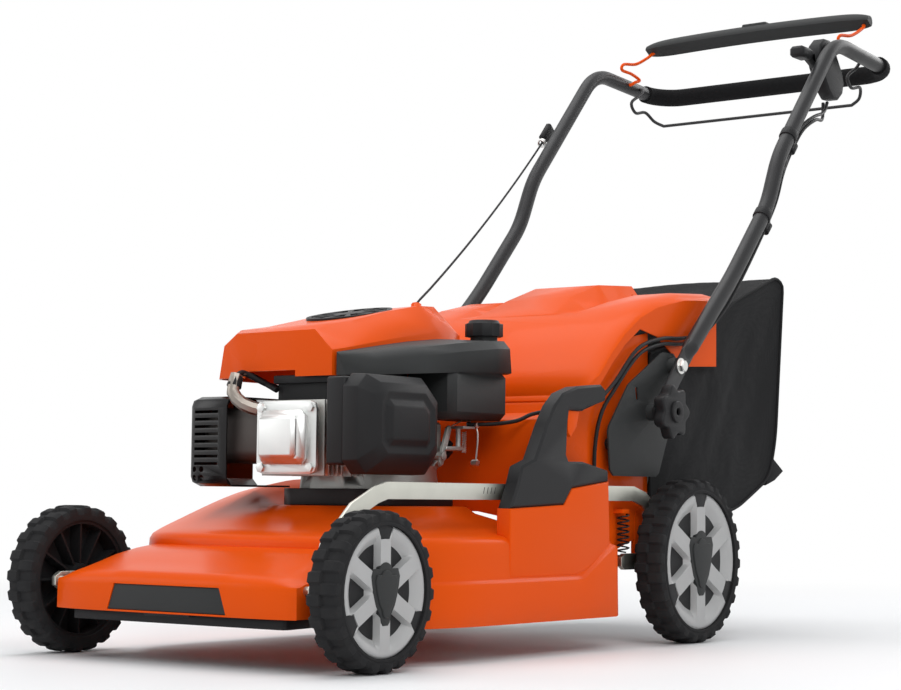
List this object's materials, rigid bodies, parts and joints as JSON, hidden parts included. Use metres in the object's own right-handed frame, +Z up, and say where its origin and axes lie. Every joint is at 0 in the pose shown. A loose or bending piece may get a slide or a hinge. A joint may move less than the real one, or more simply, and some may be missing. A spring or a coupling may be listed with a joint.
{
  "type": "self-propelled lawn mower",
  "caption": "Walk-behind self-propelled lawn mower: deck with blade, petrol engine, height-set wheels, folding handle with control bails, rear flap and fabric grass bag.",
  "frame": {"origin": "on the ground under the middle of the machine's overall length and width", "axes": "+Z up, +Y from the bumper towards the operator, +X to the operator's left"},
  "size_m": [0.58, 1.6663, 1.128],
  "materials": {
    "orange_paint": "gloss",
    "grey_trim": "satin",
    "tyre_black": "matte",
    "black_plastic": "satin",
    "charcoal_plastic": "satin",
    "charcoal_paint": "satin",
    "cast_aluminium": "cast",
    "bright_steel": "satin",
    "orange_plastic": "gloss",
    "black_fabric": "woven",
    "black_rubber": "matte"
  },
  "bodies": {
    "chassis": {"air_filter_base": "black_plastic", "air_filter_cover": "black_plastic", "bag_frame": "bright_steel", "bracket_left": "charcoal_plastic", "bracket_right": "charcoal_plastic", "bumper_lip": "black_plastic", "bumper_panel": "charcoal_plastic", "carburettor": "cast_aluminium", "carry_handle": "charcoal_plastic", "cover_grille": "black_plastic", "crankcase": "cast_aluminium", "cylinder_head": "cast_aluminium", "deck_shell": "orange_paint", "drive_belt": "black_rubber", "drive_cable": "black_plastic", "engine_base": "black_plastic", "engine_cable": "black_plastic", "engine_cover": "orange_paint", "fuel_tank": "charcoal_plastic", "gearbox": "cast_aluminium", "grass_bag": "black_fabric", "lift_spring": "black_plastic", "muffler": "bright_steel", "muffler_guard": "black_plastic", "rear_housing": "orange_paint", "spark_plug_boot": "bright_steel", "starter_rope": "black_plastic", "valve_cover": "bright_steel"},
    "front_axle_body": {"front_axle": "bright_steel"},
    "rear_axle_body": {"rear_axle": "bright_steel"},
    "height_link_body": {"height_link": "bright_steel"},
    "wheel_front_left": {"tyre_front_left": "tyre_black", "trim_front_left": "grey_trim"},
    "wheel_front_right": {"tyre_front_right": "tyre_black", "trim_front_right": "grey_trim"},
    "wheel_rear_left": {"tyre_rear_left": "tyre_black", "trim_rear_left": "grey_trim"},
    "wheel_rear_right": {"tyre_rear_right": "tyre_black", "trim_rear_right": "grey_trim"},
    "crank": {"crankshaft": "bright_steel", "flywheel_fan": "cast_aluminium", "blade": "bright_steel", "blade_bolt": "bright_steel"},
    "gear_pulley": {"gearbox_pulley": "bright_steel"},
    "drive_shaft_body": {"drive_shaft": "bright_steel"},
    "handle": {"handlebar": "charcoal_paint", "foam_grip": "black_rubber", "control_housing": "black_plastic", "rope_guide": "bright_steel"},
    "brake_bail_body": {"brake_bail": "orange_plastic", "brake_bail_grip": "charcoal_plastic"},
    "drive_bail_body": {"drive_bail": "charcoal_paint"},
    "speed_lever_body": {"speed_lever": "black_plastic"},
    "knob_left_body": {"knob_left": "black_plastic"},
    "knob_right_body": {"knob_right": "black_plastic"},
    "starter_grip_body": {"starter_grip": "black_plastic"},
    "fuel_cap_body": {"fuel_cap": "black_plastic"},
    "oil_dipstick_body": {"oil_dipstick": "black_plastic"},
    "flap": {"rear_flap": "orange_paint"},
    "trigger": {"height_trigger": "orange_plastic"}
  },
  "joints": [
    {"name": "front_height", "type": "hinge", "parent": "chassis", "child": "front_axle_body", "pos_m": [0, -0.79215, 0.101], "axis": [1, 0, 0], "range_deg": [-27, 27]},
    {"name": "rear_height", "type": "hinge", "parent": "chassis", "child": "rear_axle_body", "pos_m": [0, -0.01515, 0.1245], "axis": [1, 0, 0], "range_deg": [-27, 27], "deforming": ["lift_spring"]},
    {"name": "link_pivot", "type": "hinge", "parent": "rear_axle_body", "child": "height_link_body", "pos_m": [0.2318, 0.00485, 0.1805], "axis": [1, 0, 0], "range_deg": [-27, 27]},
    {"name": "spin_front_left", "type": "hinge", "parent": "front_axle_body", "child": "wheel_front_left", "pos_m": [0.2655, -0.73215, 0.101], "axis": [1, 0, 0], "continuous": true},
    {"name": "spin_front_right", "type": "hinge", "parent": "front_axle_body", "child": "wheel_front_right", "pos_m": [-0.2655, -0.73215, 0.101], "axis": [1, 0, 0], "continuous": true},
    {"name": "spin_rear_left", "type": "hinge", "parent": "rear_axle_body", "child": "wheel_rear_left", "pos_m": [0.2655, 0.04485, 0.1245], "axis": [1, 0, 0], "continuous": true},
    {"name": "spin_rear_right", "type": "hinge", "parent": "rear_axle_body", "child": "wheel_rear_right", "pos_m": [-0.2655, 0.04485, 0.1245], "axis": [1, 0, 0], "continuous": true},
    {"name": "crank_spin", "type": "hinge", "parent": "chassis", "child": "crank", "pos_m": [0, -0.40865, 0.1], "axis": [0, 0, 1], "continuous": true},
    {"name": "gear_pulley_spin", "type": "hinge", "parent": "chassis", "child": "gear_pulley", "pos_m": [0.13, -0.08165, 0.14], "axis": [0, 0, 1], "continuous": true},
    {"name": "drive_shaft_spin", "type": "hinge", "parent": "chassis", "child": "drive_shaft_body", "pos_m": [0, -0.01515, 0.1245], "axis": [1, 0, 0], "continuous": true},
    {"name": "handle_fold", "type": "hinge", "parent": "chassis", "child": "handle", "pos_m": [0, 0.04165, 0.4237], "axis": [1, 0, 0], "range_deg": [0, 128], "deforming": ["engine_cable", "drive_cable", "starter_rope"]},
    {"name": "brake_bail_hinge", "type": "hinge", "parent": "handle", "child": "brake_bail_body", "pos_m": [0, 0.68135, 1.022], "axis": [1, 0, 0], "range_deg": [-33, 0], "stiffness_Nm_per_rad": 2, "springref_deg": 28.65},
    {"name": "drive_bail_hinge", "type": "hinge", "parent": "handle", "child": "drive_bail_body", "pos_m": [0, 0.72135, 1.019], "axis": [1, 0, 0], "range_deg": [0, 40], "stiffness_Nm_per_rad": 1, "springref_deg": -22.92},
    {"name": "speed_lever_hinge", "type": "hinge", "parent": "handle", "child": "speed_lever_body", "pos_m": [0.2227, 0.61435, 0.962], "axis": [1, 0, 0], "range_deg": [0, 12]},
    {"name": "knob_left_turn", "type": "hinge", "parent": "chassis", "child": "knob_left_body", "pos_m": [0.2645, -0.02165, 0.35], "axis": [1, 0, 0], "continuous": true},
    {"name": "knob_right_turn", "type": "hinge", "parent": "chassis", "child": "knob_right_body", "pos_m": [-0.2645, -0.02165, 0.35], "axis": [1, 0, 0], "continuous": true},
    {"name": "starter_pull", "type": "slide", "parent": "handle", "child": "starter_grip_body", "axis": [-0.3129, 0.8464, 0.4309], "range_m": [0, 0.5], "stiffness_N_per_m": 20, "springref_m": -0.15, "deforming": ["starter_rope"]},
    {"name": "fuel_cap_turn", "type": "hinge", "parent": "chassis", "child": "fuel_cap_body", "pos_m": [0.12, -0.29565, 0.4505], "axis": [0, 0, 1], "range_deg": [0, 90]},
    {"name": "dipstick_turn", "type": "hinge", "parent": "chassis", "child": "oil_dipstick_body", "pos_m": [0.058, -0.31365, 0.282], "axis": [0.3049, 0.5863, 0.7505], "range_deg": [0, 90]},
    {"name": "flap_hinge", "type": "hinge", "parent": "chassis", "child": "flap", "pos_m": [0, -0.18565, 0.362], "axis": [1, 0, 0], "range_deg": [0, 55], "stiffness_Nm_per_rad": 2, "springref_deg": -28.65, "deforming": ["starter_rope"]},
    {"name": "trigger_squeeze", "type": "slide", "parent": "chassis", "child": "trigger", "axis": [0, 0, 1], "range_m": [0, 0.005], "stiffness_N_per_m": 600, "springref_m": -0.003}
  ],
  "couplings": [
    {"joint": "rear_height", "follows": "front_height", "ratio": 1},
    {"joint": "link_pivot", "follows": "front_height", "ratio": -1},
    {"joint": "gear_pulley_spin", "follows": "crank_spin", "ratio": 0.6308}
  ]
}
